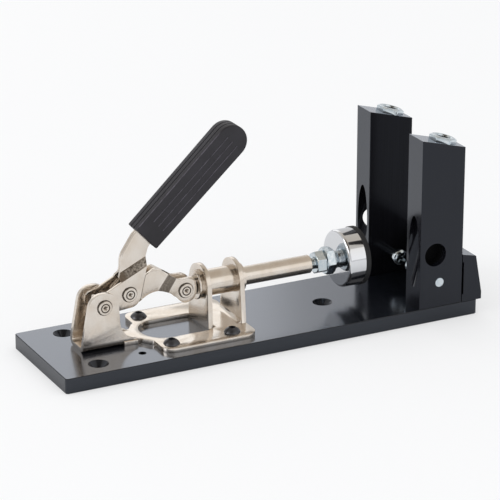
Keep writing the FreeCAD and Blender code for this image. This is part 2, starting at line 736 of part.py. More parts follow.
def make_spindle():
    stud = rod_x(stud_diameter / 2, rod_front_x - stud_depth, foot_hex_x, 0, plunger_z)
    head = along(chamfered_hexagon(foot_hex_flats, foot_hex_height), Vector(foot_hex_x, 0, plunger_z), Vector(1, 0, 0))
    collar = rod_x(foot_collar_diameter / 2, foot_hex_x + foot_hex_height, cup_x, 0, plunger_z)
    return stud.fuse(head).fuse(collar)


def make_cup():
    cup = rod_x(cup_diameter / 2, cup_x, pad_x, 0, plunger_z)
    lip = [e for e in cup.Edges if e.BoundBox.XMax < cup_x + 1e-3]
    return cup.makeFillet(cup_lip_radius, lip)


def make_pad():
    pad = rod_x(pad_diameter / 2, pad_x, pad_x + pad_thickness, 0, plunger_z)
    rim = [e for e in pad.Edges if e.BoundBox.XMin > pad_x + pad_thickness - 1e-3]
    return pad.makeFillet(pad_edge_radius, rim)


far_outer_y = far_block_y + block_width / 2
save("base_plate", make_base())
save("near_guide_block", make_guide_block(near_block_y, near_block_outer_y))
save("far_guide_block", make_guide_block(far_block_y, base_width / 2 + far_block_overhang))
save("near_drill_bush", make_drill_bush(near_block_y))
save("far_drill_bush", make_drill_bush(far_block_y))
save("near_stop_screw", make_stop_screw(near_block_outer_y, 1))
save("far_stop_screw", make_stop_screw(far_outer_y, -1))
save("guide_fence", make_fence())
save("near_guide_bolt", make_guide_bolt(near_block_y))
save("far_guide_bolt", make_guide_bolt(far_block_y))
save("near_guide_washer", make_guide_washer(near_block_y))
save("far_guide_washer", make_guide_washer(far_block_y))
save("fence_screws", make_fence_screws())
save("clamp_bracket", make_bracket())
save("bracket_screws", make_mount_screws())
save("guide_tube", make_tube())
save("plunger_rod", make_rod())
leaf = make_leaf()
save("handle_far_leaf", leaf)
save("handle_near_leaf", mirrored(leaf))
save("handle_grip", make_grip())
link_plate = make_link_plate()
save("far_link_plate", link_plate)
save("near_link_plate", mirrored(link_plate))
save("handle_pivot_rivet", make_rivet(handle_pivot_x, handle_pivot_z, channel_half_width))
save("link_pivot_rivet", make_rivet(middle_pivot_x, middle_pivot_z, leaf_outer))
far_rivet = make_open_rivet(plunger_pivot_x, plunger_z, link_front_inner, link_front_outer)
save("far_plunger_rivet", far_rivet)
save("near_plunger_rivet", mirrored(far_rivet))
save("foot_jam_nut", make_jam_nut())
save("foot_spindle", make_spindle())
save("foot_cup", make_cup())
save("foot_pad", make_pad())
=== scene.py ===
import json
import math

import bmesh
import bpy
from mathutils import Matrix, Vector


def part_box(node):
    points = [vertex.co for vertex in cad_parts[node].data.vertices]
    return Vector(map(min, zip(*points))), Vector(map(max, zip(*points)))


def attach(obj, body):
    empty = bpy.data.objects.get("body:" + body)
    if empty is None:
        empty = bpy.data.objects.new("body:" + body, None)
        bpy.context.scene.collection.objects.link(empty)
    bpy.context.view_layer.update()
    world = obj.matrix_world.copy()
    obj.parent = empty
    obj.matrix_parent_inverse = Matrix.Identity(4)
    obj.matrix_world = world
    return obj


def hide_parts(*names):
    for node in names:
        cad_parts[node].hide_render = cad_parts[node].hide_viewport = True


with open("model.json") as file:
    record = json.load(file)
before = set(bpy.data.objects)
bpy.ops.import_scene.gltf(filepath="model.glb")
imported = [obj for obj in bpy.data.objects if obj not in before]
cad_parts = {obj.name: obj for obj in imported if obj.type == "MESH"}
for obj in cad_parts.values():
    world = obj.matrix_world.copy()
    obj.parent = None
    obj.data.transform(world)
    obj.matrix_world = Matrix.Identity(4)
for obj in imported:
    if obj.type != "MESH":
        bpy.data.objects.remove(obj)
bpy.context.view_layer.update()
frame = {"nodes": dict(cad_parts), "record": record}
cad = frame["nodes"]
MM = 0.001

# ---------------------------------------------------------------------------
# Studio: the jig stands on a white table, 1.7 m from a long lens, in a pale room
# that lights it evenly. A wide softbox stands in front, one behind and a bright
# one on the left. Polished metal also mirrors a dark patch of ceiling.

def linear(hex_colour):
    """sRGB hex colour as linear RGBA, which the sockets expect."""
    channels = [int(hex_colour[i:i + 2], 16) / 255 for i in (1, 3, 5)]
    return [c / 12.92 if c <= 0.04045 else ((c + 0.055) / 1.055) ** 2.4 for c in channels] + [1.0]


def add_node(tree, kind, settings, inputs):
    """Adds one node. An input is given by name or number, as a value or as the socket that feeds it."""
    node = tree.nodes.new(kind)
    for name, value in settings.items():
        setattr(node, name, value)
    for name, value in inputs.items():
        if isinstance(value, bpy.types.NodeSocket):
            tree.links.new(value, node.inputs[name])
        else:
            node.inputs[name].default_value = value
    return node


def ramp_stops(node, stops):
    """Sets a colour ramp to (place, colour) pairs."""
    bar = node.color_ramp
    while len(bar.elements) < len(stops):
        bar.elements.new(0.5)
    for element, (place, colour) in zip(bar.elements, stops):
        element.position = place
        element.color = colour


bpy.context.scene.view_settings.view_transform = "Standard"

camera_data = bpy.data.cameras.new("camera")
camera_data.sensor_width = 36.0
camera_data.lens = 196.2
camera_data.clip_start = 0.1
camera_data.clip_end = 60.0
camera = bpy.data.objects.new("camera", camera_data)
camera.location = (-730.3 * MM, -1438.6 * MM, 666.6 * MM)
camera.rotation_euler = (math.radians(90 - 20.76), 0, math.radians(-26.93))
bpy.context.scene.collection.objects.link(camera)
bpy.context.scene.camera = camera

world = bpy.data.worlds.new("studio_room")
bpy.context.scene.world = world
world.use_nodes = True
sky = world.node_tree
sky.nodes.clear()
way = add_node(sky, "ShaderNodeTexCoord", {}, {})
heading = add_node(sky, "ShaderNodeSeparateXYZ", {}, {0: way.outputs["Generated"]})
walls = add_node(sky, "ShaderNodeValToRGB", {}, {"Fac": heading.outputs["Z"]})
ramp_stops(walls, [(0.0, linear("#E2E3E5")), (0.5, linear("#DEDDDC")), (0.85, linear("#D5CEC4")),
                   (1.0, linear("#C6BDB1"))])
toward = add_node(sky, "ShaderNodeVectorMath", {"operation": "DOT_PRODUCT"},
                  {0: way.outputs["Generated"], 1: (-0.30, -0.35, 0.89)})
patch = add_node(sky, "ShaderNodeMapRange", {},
                 {"Value": toward.outputs["Value"], "From Min": 0.86, "From Max": 0.94})
room = add_node(sky, "ShaderNodeMix", {"data_type": "RGBA"},
                {0: patch.outputs[0], 6: walls.outputs[0], 7: linear("#6E6459")})
rays = add_node(sky, "ShaderNodeLightPath", {}, {})
room_light = add_node(sky, "ShaderNodeBackground", {}, {"Color": linear("#F4F5F7"), "Strength": 0.93})
room_seen = add_node(sky, "ShaderNodeBackground", {}, {"Color": room.outputs[2], "Strength": 0.95})
white_wall = add_node(sky, "ShaderNodeBackground", {}, {"Color": (1, 1, 1, 1), "Strength": 1.0})
mirrored = add_node(sky, "ShaderNodeMixShader", {},
                    {0: rays.outputs["Is Glossy Ray"], 1: room_light.outputs[0], 2: room_seen.outputs[0]})
shown = add_node(sky, "ShaderNodeMixShader", {},
                 {0: rays.outputs["Is Camera Ray"], 1: mirrored.outputs[0], 2: white_wall.outputs[0]})
add_node(sky, "ShaderNodeOutputWorld", {}, {0: shown.outputs[0]})

for name, place, size, power in [
        ("front_softbox", (0.9, -2.6, 1.25), (3.4, 2.2), 10.0),
        ("back_panel", (0.36, 3.05, 1.35), (2.4, 1.9), 8.5),
        ("left_softbox", (-2.6, 0.4, 1.1), (1.6, 1.4), 22.0)]:
    lamp_data = bpy.data.lights.new(name, "AREA")
    lamp_data.shape = "RECTANGLE"
    lamp_data.size, lamp_data.size_y = size
    lamp_data.energy = power
    lamp = bpy.data.objects.new(name, lamp_data)
    lamp.location = place
    lamp.rotation_euler = (-Vector(place)).to_track_quat("-Z", "Y").to_euler()
    lamp.visible_camera = False
    bpy.context.scene.collection.objects.link(lamp)

bpy.ops.object.select_all(action="DESELECT")
bpy.ops.mesh.primitive_plane_add(size=40.0, location=(0, 0, -0.2 * MM))
floor = bpy.context.object
floor.name = "floor"
paper = bpy.data.materials.new("matt_white_paper")
paper.use_nodes = True
paper.node_tree.nodes.clear()
grain = add_node(paper.node_tree, "ShaderNodeTexNoise", {}, {"Scale": 40.0, "Detail": 2.0})
tone = add_node(paper.node_tree, "ShaderNodeValToRGB", {}, {"Fac": grain.outputs[0]})
ramp_stops(tone, [(0.3, linear("#F6F6F6")), (0.7, linear("#F8F8F8"))])
matt = add_node(paper.node_tree, "ShaderNodeBsdfPrincipled", {},
                {"Base Color": tone.outputs[0], "Roughness": 0.9, "Specular IOR Level": 0.0})
# To the camera the paper is half washed out, as an over-lit sweep is, so its shadows stay faint.
washed = add_node(paper.node_tree, "ShaderNodeEmission", {}, {"Color": linear("#FFFFFF"), "Strength": 1.0})
seen = add_node(paper.node_tree, "ShaderNodeLightPath", {}, {})
share = add_node(paper.node_tree, "ShaderNodeMath", {"operation": "MULTIPLY"},
                 {0: seen.outputs["Is Camera Ray"], 1: 0.5})
sheet = add_node(paper.node_tree, "ShaderNodeMixShader", {},
                 {0: share.outputs[0], 1: matt.outputs[0], 2: washed.outputs[0]})
add_node(paper.node_tree, "ShaderNodeOutputMaterial", {}, {0: sheet.outputs[0]})
floor.data.materials.append(paper)

# ---------------------------------------------------------------------------
# Base plate, guide blocks and fence: sawn and milled aluminium bar, brushed
# lengthwise and anodised black. The dyed oxide is dark and a little glossy,
# so it turns pale at a low angle and shows blurred reflections.

def object_place(tree):
    """The socket that gives Object coordinates, in a new node."""
    return add_node(tree, "ShaderNodeTexCoord", {}, {}).outputs["Object"]


def lay_over(tree, mask, shader):
    """Shows this shader in place of the material's own where the mask is 1."""
    out = next(node for node in tree.nodes if node.type == "OUTPUT_MATERIAL")
    both = add_node(tree, "ShaderNodeMixShader", {},
                    {0: mask.outputs[0], 1: out.inputs[0].links[0].from_socket, 2: shader.outputs[0]})
    tree.links.new(both.outputs[0], out.inputs[0])


def finish_of(material_name, base, settings):
    """A new material with one Principled shader. Gives the material, its tree, the shader, and the socket
    of the Object coordinates, which the patterns are laid out in."""
    material = bpy.data.materials.new(material_name)
    material.use_nodes = True
    tree = material.node_tree
    tree.nodes.clear()
    shader = add_node(tree, "ShaderNodeBsdfPrincipled", {}, {"Base Color": linear(base), **settings})
    add_node(tree, "ShaderNodeOutputMaterial", {}, {0: shader.outputs[0]})
    return material, tree, shader, object_place(tree)


def wear(names, material):
    """Gives CAD nodes this material in every slot."""
    for name in names:
        mesh = cad[name].data
        if not mesh.materials:
            mesh.materials.append(material)
        for i in range(len(mesh.materials)):
            mesh.materials[i] = material


def brushed_anodising(material_name, along, dark, light, ior, end_shine):
    """Black anodised bar with brush lines along one axis. The lines are 0.1 mm apart on the real bar, and
    are drawn 0.5 mm apart so that they show. Faces that look up are milled, and there the sealed film shines
    twice. Faces that look along X have the share end_shine of that second shine."""
    material, tree, shader, where = finish_of(material_name, dark, {
        "Roughness": 0.18, "IOR": ior, "Coat IOR": 1.6, "Coat Roughness": 0.16, "Coat Tint": linear("#E9F1FF"),
        "Specular Tint": linear("#E6EFFF")})
    stretch = [1 / (0.5 * MM)] * 3
    stretch["XYZ".index(along)] = 1 / (60 * MM)
    lines = add_node(tree, "ShaderNodeMapping", {}, {"Vector": where, "Scale": stretch})
    brush = add_node(tree, "ShaderNodeTexNoise", {}, {"Vector": lines.outputs[0], "Scale": 1.0, "Detail": 3.0})
    shade = add_node(tree, "ShaderNodeValToRGB", {}, {"Fac": brush.outputs[0]})
    ramp_stops(shade, [(0.35, linear(dark)), (0.65, linear(light))])
    gloss = add_node(tree, "ShaderNodeMapRange", {},
                     {"Value": brush.outputs[0], "From Min": 0.3, "From Max": 0.7, "To Min": 0.13, "To Max": 0.22})
    relief = add_node(tree, "ShaderNodeBump", {},
                      {"Height": brush.outputs[0], "Strength": 0.04, "Distance": 0.03 * MM})
    tree.links.new(shade.outputs[0], shader.inputs["Base Color"])
    tree.links.new(gloss.outputs[0], shader.inputs["Roughness"])
    tree.links.new(relief.outputs[0], shader.inputs["Normal"])
    facing = add_node(tree, "ShaderNodeSeparateXYZ", {}, {0: where.node.outputs["Normal"]})
    milled = add_node(tree, "ShaderNodeMath", {"operation": "GREATER_THAN"}, {0: facing.outputs["Z"], 1: 0.85})
    endwise = add_node(tree, "ShaderNodeMath", {"operation": "ABSOLUTE"}, {0: facing.outputs["X"]})
    planed = add_node(tree, "ShaderNodeMath", {"operation": "GREATER_THAN"}, {0: endwise.outputs[0], 1: 0.85})
    film = add_node(tree, "ShaderNodeMath", {"operation": "MULTIPLY_ADD"},
                    {0: planed.outputs[0], 1: end_shine, 2: milled.outputs[0]})
    tree.links.new(film.outputs[0], shader.inputs["Coat Weight"])
    return material


plate_black = brushed_anodising("black_anodised_brushed_plate", "X", "#101113", "#17181B", 1.6, 0.0)
bar_black = brushed_anodising("black_anodised_extruded_bar", "Z", "#111114", "#17171B", 1.42, 0.4)

# The faces that the blocks turn to each other get a film that hardly shines: painted shade, for the shade that falls
# between the two blocks.
tree = bar_black.node_tree
skin = next(node for node in tree.nodes if node.type == "BSDF_PRINCIPLED")
between_blocks_shade = add_node(tree, "ShaderNodeBsdfPrincipled", {}, {"IOR": 1.22, "Specular Tint": linear("#E6EFFF"), **{
    name: skin.inputs[name].links[0].from_socket for name in ("Base Color", "Roughness", "Normal")}})
where = object_place(tree)
across = add_node(tree, "ShaderNodeSeparateXYZ", {}, {0: where})
facing = add_node(tree, "ShaderNodeSeparateXYZ", {}, {0: where.node.outputs["Normal"]})
inward = add_node(tree, "ShaderNodeMath", {"operation": "MULTIPLY"}, {0: facing.outputs["Y"], 1: across.outputs["Y"]})
between_blocks_shade_mask = add_node(tree, "ShaderNodeMath", {"operation": "LESS_THAN"}, {0: inward.outputs[0], 1: -5.0 * MM})
lay_over(tree, between_blocks_shade_mask, between_blocks_shade)

# The end of a block's chip hole is painted nearly black and matt: painted shade, for the shade deep in the hole.
hole_middle = (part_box("near_guide_block")[0].x + 11.0 * MM, 0, 46.1 * MM)
hole_radius = 7.9 * MM
hole_end, hole_end_play = 33.6 * MM, 2.8 * MM
side_view = add_node(tree, "ShaderNodeVectorMath", {"operation": "MULTIPLY"}, {0: where, 1: (1, 0, 1)})
from_hole = add_node(tree, "ShaderNodeVectorMath", {"operation": "DISTANCE"},
                     {0: side_view.outputs[0], 1: hole_middle})
within = add_node(tree, "ShaderNodeMath", {"operation": "LESS_THAN"}, {0: from_hole.outputs["Value"], 1: hole_radius})
from_middle = add_node(tree, "ShaderNodeMath", {"operation": "ABSOLUTE"}, {0: across.outputs["Y"]})
deep = add_node(tree, "ShaderNodeMath", {"operation": "COMPARE"},
                {0: from_middle.outputs[0], 1: hole_end, 2: hole_end_play})
inside_end = add_node(tree, "ShaderNodeMath", {"operation": "MULTIPLY"}, {0: within.outputs[0], 1: deep.outputs[0]})
painted_hole_shade = add_node(tree, "ShaderNodeBsdfPrincipled", {}, {"Base Color": linear("#060607"), "Roughness": 0.8, "IOR": 1.2})
lay_over(tree, inside_end, painted_hole_shade)

wear(["base_plate"], plate_black)
wear(["near_guide_block", "far_guide_block", "guide_fence"], bar_black)

# ---------------------------------------------------------------------------
# Toggle clamp: pressed steel strip, tumbled and nickel plated, with a turned
# rod and tube. The plate is warm, bright and slightly soft in its reflections.

# Tumbling leaves waves about 1.2 mm across under the plate, and its tint drifts over 9 mm.
nickel, tree, shader, where = finish_of("nickel_plated_steel", "#D9CFC4", {"Metallic": 1.0, "Roughness": 0.16})
peel = add_node(tree, "ShaderNodeTexNoise", {}, {"Vector": where, "Scale": 1 / (1.2 * MM), "Detail": 3.0})
cloud = add_node(tree, "ShaderNodeTexNoise", {}, {"Vector": where, "Scale": 1 / (9 * MM), "Detail": 2.0})
tint = add_node(tree, "ShaderNodeValToRGB", {}, {"Fac": cloud.outputs[0]})
ramp_stops(tint, [(0.35, linear("#D6CBBE")), (0.65, linear("#DED6CC"))])
gloss = add_node(tree, "ShaderNodeMapRange", {},
                 {"Value": peel.outputs[0], "From Min": 0.3, "From Max": 0.7, "To Min": 0.16, "To Max": 0.26})
relief = add_node(tree, "ShaderNodeBump", {}, {"Height": peel.outputs[0], "Strength": 0.08, "Distance": 0.03 * MM})
tree.links.new(tint.outputs[0], shader.inputs["Base Color"])
tree.links.new(gloss.outputs[0], shader.inputs["Roughness"])
tree.links.new(relief.outputs[0], shader.inputs["Normal"])
wear(["guide_tube", "plunger_rod"], nickel)


def press_marks_and_shade(name, across, span, begin, grain, tones):
    """Nickel with a darker strip on a joggle: the scores that the press leaves, and painted shade for the dark that
    the sloped facet shows. The strip runs square to the direction across in the XZ plane. In millimetres, span is
    where it lies along that direction, begin is where it starts along its own, and grain is the size of the scores."""
    marked = nickel.copy()
    marked.name = name
    tree = marked.node_tree
    where = object_place(tree)
    over = add_node(tree, "ShaderNodeVectorMath", {"operation": "DOT_PRODUCT"},
                    {0: where, 1: (across[0] / MM, 0, across[1] / MM)})
    along = add_node(tree, "ShaderNodeVectorMath", {"operation": "DOT_PRODUCT"},
                     {0: where, 1: (across[1] / MM, 0, -across[0] / MM)})
    enter = add_node(tree, "ShaderNodeMapRange", {},
                     {"Value": over.outputs["Value"], "From Min": span[0] - 0.3, "From Max": span[0] + 0.3})
    leave = add_node(tree, "ShaderNodeMapRange", {},
                     {"Value": over.outputs["Value"], "From Min": span[1] + 0.3, "From Max": span[1] - 0.3})
    start = add_node(tree, "ShaderNodeMapRange", {},
                     {"Value": along.outputs["Value"], "From Min": begin - 1.0, "From Max": begin + 1.0})
    band = add_node(tree, "ShaderNodeMath", {"operation": "MULTIPLY"}, {0: enter.outputs[0], 1: leave.outputs[0]})
    strip = add_node(tree, "ShaderNodeMath", {"operation": "MULTIPLY"}, {0: band.outputs[0], 1: start.outputs[0]})
    scores = add_node(tree, "ShaderNodeTexNoise", {}, {"Vector": where, "Scale": 1 / (grain * MM), "Detail": 3.0})
    shade = add_node(tree, "ShaderNodeValToRGB", {}, {"Fac": scores.outputs[0]})
    ramp_stops(shade, [(0.3, linear(tones[0])), (0.7, linear(tones[1]))])
    scored_and_shaded = add_node(tree, "ShaderNodeBsdfPrincipled", {},
                      {"Base Color": shade.outputs[0], "Metallic": 1.0, "Roughness": 0.38})
    lay_over(tree, strip, scored_and_shaded)
    return marked


leaf_nickel = press_marks_and_shade("nickel_with_leaf_press_marks_and_shade", across=(-0.423, 0.906), span=(85.7, 89.0), begin=-56.5,
                           grain=1.3, tones=("#6B6359", "#F0E9E0"))
# The strip on the link begins well before the plate, so it has the plate's whole width.
link_nickel = press_marks_and_shade("nickel_with_link_press_marks_and_shade", across=(0.837, -0.546), span=(-77.4, -71.2), begin=-200.0,
                           grain=0.9, tones=("#5F584F", "#8C8379"))

# A dark line is painted on the link plate along the leaf's sheared edge: painted shadow, where the leaf shades the
# plate behind it.
tree = link_nickel.node_tree
where = object_place(tree)
over = add_node(tree, "ShaderNodeVectorMath", {"operation": "DOT_PRODUCT"},
                {0: where, 1: (0.974 / MM, 0, -0.225 / MM)})
under = add_node(tree, "ShaderNodeMapRange", {},
                 {"Value": over.outputs["Value"], "From Min": -86.6, "From Max": -86.2})
edge_shadow_end = add_node(tree, "ShaderNodeMapRange", {},
                 {"Value": over.outputs["Value"], "From Min": -84.1, "From Max": -84.7})
line = add_node(tree, "ShaderNodeMath", {"operation": "MULTIPLY"}, {0: under.outputs[0], 1: edge_shadow_end.outputs[0]})
painted_edge_shadow = add_node(tree, "ShaderNodeBsdfPrincipled", {},
                 {"Base Color": linear("#5E554C"), "Metallic": 0.6, "Roughness": 0.5})
lay_over(tree, line, painted_edge_shadow)

# In grooves, round rivet heads and along sheared edges the nickel is painted brown and dull: painted shade for these
# hollows and edges.
painted_crevice_shade, tree, shader, where = finish_of("nickel_with_painted_crevice_shade", "#5E554C", {"Metallic": 0.6, "Roughness": 0.5})
smear = add_node(tree, "ShaderNodeTexNoise", {}, {"Vector": where, "Scale": 1 / (1.0 * MM), "Detail": 2.0})
tint = add_node(tree, "ShaderNodeValToRGB", {}, {"Fac": smear.outputs[0]})
ramp_stops(tint, [(0.3, linear("#4E453C")), (0.7, linear("#70665B"))])
tree.links.new(tint.outputs[0], shader.inputs["Base Color"])


def only(piece):
    """Selects one object alone and makes it the active one."""
    bpy.ops.object.select_all(action="DESELECT")
    piece.select_set(True)
    bpy.context.view_layer.objects.active = piece


def apply_modifier(piece, kind, settings):
    """Adds a modifier, sets it and applies it."""
    only(piece)
    modifier = piece.modifiers.new(kind.lower(), kind)
    for name, value in settings.items():
        setattr(modifier, name, value)
    bpy.ops.object.modifier_apply(modifier=modifier.name)


def primitive(kind, **settings):
    """Adds a primitive alone, with nothing else selected, and returns its object."""
    bpy.ops.object.select_all(action="DESELECT")
    getattr(bpy.ops.mesh, "primitive_" + kind + "_add")(**settings)
    return bpy.context.object


def prism(corners, axis, ends):
    """A prism with these corners, in the XY plane and rising in Z, or in the XZ plane and running in Y."""
    body = primitive("circle", vertices=len(corners), radius=1.0, fill_type="NGON")
    for vertex, (a, b) in zip(body.data.vertices, corners):
        vertex.co = (a * MM, b * MM, ends[0] * MM) if axis == "Z" else (a * MM, ends[0] * MM, b * MM)
    bpy.ops.object.mode_set(mode="EDIT")
    bpy.ops.mesh.select_all(action="SELECT")
    rise = (ends[1] - ends[0]) * MM
    bpy.ops.mesh.extrude_region_move(TRANSFORM_OT_translate={"value": (0, 0, rise) if axis == "Z" else (0, rise, 0)})
    bpy.ops.mesh.select_all(action="SELECT")
    bpy.ops.mesh.normals_make_consistent(inside=False)
    bpy.ops.object.mode_set(mode="OBJECT")
    return body


def own_copy(name, node):
    """A copy of a CAD node with merged corners and flat faces, to be finished as a piece of its own."""
    piece = cad[node].copy()
    piece.data = cad[node].data.copy()
    piece.parent = None
    for key in list(piece.keys()):
        del piece[key]
    piece.name = piece.data.name = name
    bpy.context.scene.collection.objects.link(piece)
    only(piece)
    bpy.ops.object.mode_set(mode="EDIT")
    bpy.ops.mesh.select_all(action="SELECT")
    bpy.ops.mesh.remove_doubles(threshold=0.001 * MM)
    bpy.ops.mesh.dissolve_limited(angle_limit=math.radians(0.5))
    bpy.ops.object.mode_set(mode="OBJECT")
    bpy.ops.mesh.customdata_custom_splitnormals_clear()
    return piece


def pressed_piece(name, node, body, edge, finish, trims, dark_edge):
    """A pressed plate with the small rounding that tumbling leaves on its edges, over its CAD node. Each trim
    is a prism that is cut off: its corners in millimetres, and the axis it runs along with its two ends. With
    dark edge, the faces of the sheared front edge get painted shade, for the shade against the plate behind it."""
    piece = own_copy(name, node)
    for corners, axis, ends in trims:
        cutter = prism(corners, axis, ends)
        apply_modifier(piece, "BOOLEAN", {"operation": "DIFFERENCE", "object": cutter, "solver": "EXACT"})
        bpy.data.objects.remove(cutter)
    apply_modifier(piece, "BEVEL", {"width": edge, "segments": 2, "limit_method": "ANGLE",
                                    "angle_limit": math.radians(40), "use_clamp_overlap": True})
    apply_modifier(piece, "TRIANGULATE", {})
    only(piece)
    bpy.ops.object.shade_smooth_by_angle(angle=math.radians(40))
    piece.data.materials.clear()
    piece.data.materials.append(finish)
    piece.data.materials.append(painted_crevice_shade)
    for face in piece.data.polygons:
        if dark_edge and face.normal.x > 0.3 and abs(face.normal.y) < 0.95:
            face.material_index = 1
    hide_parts(node)
    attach(piece, body)


# What is trimmed from each blank, as corners in the XZ plane for leaf and link, and in the XY plane for the neck.
leaf_waste = [(-91.8, 51.4), (-104.0, 45.3), (-120.0, 45.3), (-120.0, 60.0), (-93.5, 60.0)]
link_peak = [(-74.0, 54.3), (-69.9, 54.6), (-64.0, 54.3), (-64.0, 57.0), (-74.0, 57.0)]
neck_waste = [(-74.9, -16.8), (-80.6, -8.6), (-83.2, -7.2), (-83.2, -22.0), (-74.9, -22.0)]
pressed_piece("bracket_pressing", "clamp_bracket", "base", 0.35 * MM, nickel,
              [(neck_waste, "Z", (9.0, 13.5)), ([(x, -y) for x, y in neck_waste], "Z", (9.0, 13.5))], False)
for side, ends in (("far", (0.1, 9.0)), ("near", (-9.0, -0.1))):
    pressed_piece(side + "_leaf_pressing", "handle_" + side + "_leaf", "handle", 0.4 * MM, leaf_nickel,
                  [(leaf_waste, "Y", ends)], True)
for side, ends in (("far", (4.2, 4.8)), ("near", (-4.8, -4.2))):
    pressed_piece(side + "_link_pressing", side + "_link_plate", "link", 0.25 * MM, link_nickel,
                  [(link_peak, "Y", ends)], False)

# ---------------------------------------------------------------------------
# Rivets of the linkage: turned and nickel plated, with a spun head that has a
# ring groove and a dimple. The groove, the dimple and the head's rim get painted shade.

def join(pieces, name):
    """Joins the pieces into the first one."""
    bpy.ops.object.select_all(action="DESELECT")
    for piece in pieces:
        piece.select_set(True)
    bpy.context.view_layer.objects.active = pieces[0]
    bpy.ops.object.join()
    pieces[0].name = pieces[0].data.name = name
    return pieces[0]


def rivet_end(inner, outer):
    """Half a rivet along Z with its head at the outer end. The profile is radius and height in millimetres."""
    top = abs(outer - inner) / MM
    profile = [(3.0, top - 1.2), (5.1, top - 1.2), (5.1, top - 1.1), (4.6, top - 1.1), (4.6, top - 0.25), (4.3, top),
               (3.1, top), (2.95, top - 0.45), (2.45, top - 0.45), (2.3, top), (1.5, top), (0.9, top - 0.55),
               (0.05, top - 0.65)]
    half = primitive("circle", vertices=48, radius=3.0 * MM, fill_type="NGON")
    bpy.ops.object.mode_set(mode="EDIT")
    bpy.ops.mesh.select_all(action="SELECT")
    radius, height = 3.0, 0.0
    for wider, higher in profile:
        bpy.ops.mesh.extrude_region_move(TRANSFORM_OT_translate={"value": (0, 0, (higher - height) * MM)})
        bpy.ops.transform.resize(value=(wider / radius, wider / radius, 1), center_override=(0, 0, 0))
        radius, height = wider, higher
    bpy.ops.mesh.select_all(action="SELECT")
    bpy.ops.mesh.normals_make_consistent(inside=False)
    bpy.ops.object.mode_set(mode="OBJECT")
    half.data.materials.append(nickel)
    half.data.materials.append(painted_crevice_shade)
    # The groove, the dimple and the rim of the head get painted shade.
    for face in half.data.polygons:
        ring = math.hypot(face.center.x, face.center.y) / MM
        high = face.center.z / MM - top
        in_groove = 2.3 < ring < 3.1 and high < -0.1
        round_head = ring > 4.58 and high > -1.25
        in_dimple = 0.05 < ring < 0.95 and high < -0.5
        if in_groove or round_head or in_dimple:
            face.material_index = 1
    lay_down = Matrix.Rotation(math.pi / 2 if outer < inner else -math.pi / 2, 4, "X")
    half.matrix_world = Matrix.Translation((0, inner, 0)) @ lay_down
    bpy.ops.object.transform_apply(location=True, rotation=True, scale=True)
    return half


def rivet(name, node, body, ends):
    """A rivet over its CAD node, made of one or two ends."""
    low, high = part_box(node)
    whole = join([rivet_end(inner, outer) for inner, outer in ends(low.y, high.y)], name)
    whole.matrix_world = Matrix.Translation(((low.x + high.x) / 2, 0, (low.z + high.z) / 2))
    bpy.ops.object.transform_apply(location=True, rotation=True, scale=True)
    bpy.ops.object.shade_smooth_by_angle(angle=math.radians(30))
    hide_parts(node)
    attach(whole, body)


rivet("handle_pivot_pin", "handle_pivot_rivet", "base", lambda low, high: [(0.2 * MM, low), (-0.2 * MM, high)])
rivet("link_pivot_pin", "link_pivot_rivet", "handle", lambda low, high: [(0.2 * MM, low), (-0.2 * MM, high)])
rivet("near_plunger_pin", "near_plunger_rivet", "link", lambda low, high: [(high, low)])
rivet("far_plunger_pin", "far_plunger_rivet", "link", lambda low, high: [(low, high)])

# ---------------------------------------------------------------------------
# Drill bushes, stop screws and the foot screw's nut: steel, zinc plated and
# passivated bright blue, which is cooler than nickel and mottled over 2 mm.

zinc, tree, shader, where = finish_of("bright_zinc_plated_steel", "#CBD3D8", {"Metallic": 1.0, "Roughness": 0.2})
mottle = add_node(tree, "ShaderNodeTexNoise", {}, {"Vector": where, "Scale": 1 / (2 * MM), "Detail": 3.0})
tint = add_node(tree, "ShaderNodeValToRGB", {}, {"Fac": mottle.outputs[0]})
ramp_stops(tint, [(0.3, linear("#BFCBD2")), (0.7, linear("#D8DEE1"))])
gloss = add_node(tree, "ShaderNodeMapRange", {},
                 {"Value": mottle.outputs[0], "From Min": 0.3, "From Max": 0.7, "To Min": 0.09, "To Max": 0.2})
tree.links.new(tint.outputs[0], shader.inputs["Base Color"])
tree.links.new(gloss.outputs[0], shader.inputs["Roughness"])
wear(["near_stop_screw", "far_stop_screw", "foot_jam_nut"], zinc)

# The bush's bore is bare steel, drawn dark grey: painted shade, for the shade inside the bore.
bore_shade_steel, tree, shader, where = finish_of("bore_steel_with_painted_shade", "#3C4145", {"Metallic": 0.8, "Roughness": 0.4})
bore_mottle = add_node(tree, "ShaderNodeTexNoise", {}, {"Vector": where, "Scale": 1 / (1.5 * MM)})
tint = add_node(tree, "ShaderNodeValToRGB", {}, {"Fac": bore_mottle.outputs[0]})
ramp_stops(tint, [(0.3, linear("#2B3033")), (0.7, linear("#4A5054"))])
tree.links.new(tint.outputs[0], shader.inputs["Base Color"])

for side, body in (("near", "near_guide"), ("far", "far_guide")):
    bore = next(item for item in frame["record"]["mounts"] if item["name"] == side + "_drill_bore")
    bore_point, bore_line = Vector(bore["pos_m"]), Vector(bore["axis"])
    bush = own_copy(side + "_turned_bush", side + "_drill_bush")
    apply_modifier(bush, "BEVEL", {"width": 0.25 * MM, "segments": 2, "limit_method": "ANGLE",
                                   "angle_limit": math.radians(25), "use_clamp_overlap": True})
    apply_modifier(bush, "TRIANGULATE", {})
    only(bush)
    bpy.ops.object.shade_smooth_by_angle(angle=math.radians(30))
    bush.data.materials.clear()
    bush.data.materials.append(zinc)
    bush.data.materials.append(bore_shade_steel)
    # The faces of the bore get the painted bore shade.
    for face in bush.data.polygons:
        from_bore = face.center - bore_point
        if (from_bore - from_bore.project(bore_line)).length < 5.1 * MM:
            face.material_index = 1
    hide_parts(side + "_drill_bush")
    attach(bush, body)

# ---------------------------------------------------------------------------
# Foot screw: an M8 stud that screws into the rod, a 16 mm hexagon and a
# coarse M12 neck that holds the cup, turned and thread-cut from one bar.

